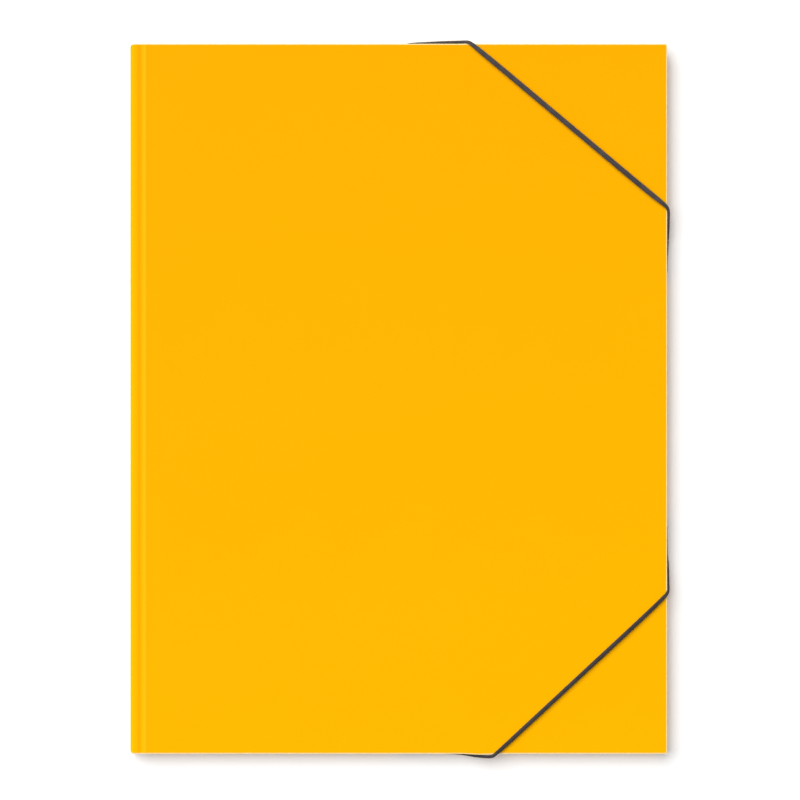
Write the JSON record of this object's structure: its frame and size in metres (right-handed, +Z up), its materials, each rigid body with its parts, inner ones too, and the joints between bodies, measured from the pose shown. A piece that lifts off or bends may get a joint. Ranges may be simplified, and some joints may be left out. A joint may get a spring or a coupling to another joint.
{
  "type": "three flap folder",
  "caption": "Closed document folder of coloured board with a hinged front cover, inner flaps on gusset walls, and elastic cords over its free corners.",
  "frame": {"origin": "middle of the closed folder's outline, on the back panel's outer face, which the folder lies on", "axes": "+Z up out of the front cover, +Y to the top edge, +X from the spine to the cover's free edge"},
  "size_m": [0.2446, 0.3252, 0.0107],
  "materials": {
    "board": "satin",
    "elastic_cord": "matte",
    "clip_steel": "satin"
  },
  "bodies": {
    "folded_sheet": {"folder_sheet": "board", "upper_elastic": "elastic_cord", "lower_elastic": "elastic_cord", "upper_end_clip": "clip_steel", "upper_side_clip": "clip_steel", "lower_side_clip": "clip_steel", "lower_end_clip": "clip_steel"},
    "cover": {"front_cover": "board"}
  },
  "joints": [
    {"name": "cover_hinge", "type": "hinge", "parent": "folded_sheet", "child": "cover", "pos_m": [-0.1145, 0, 0.0083], "axis": [0, -1, 0], "range_deg": [0, 181.9], "deforming": ["upper_elastic", "lower_elastic"]}
  ]
}
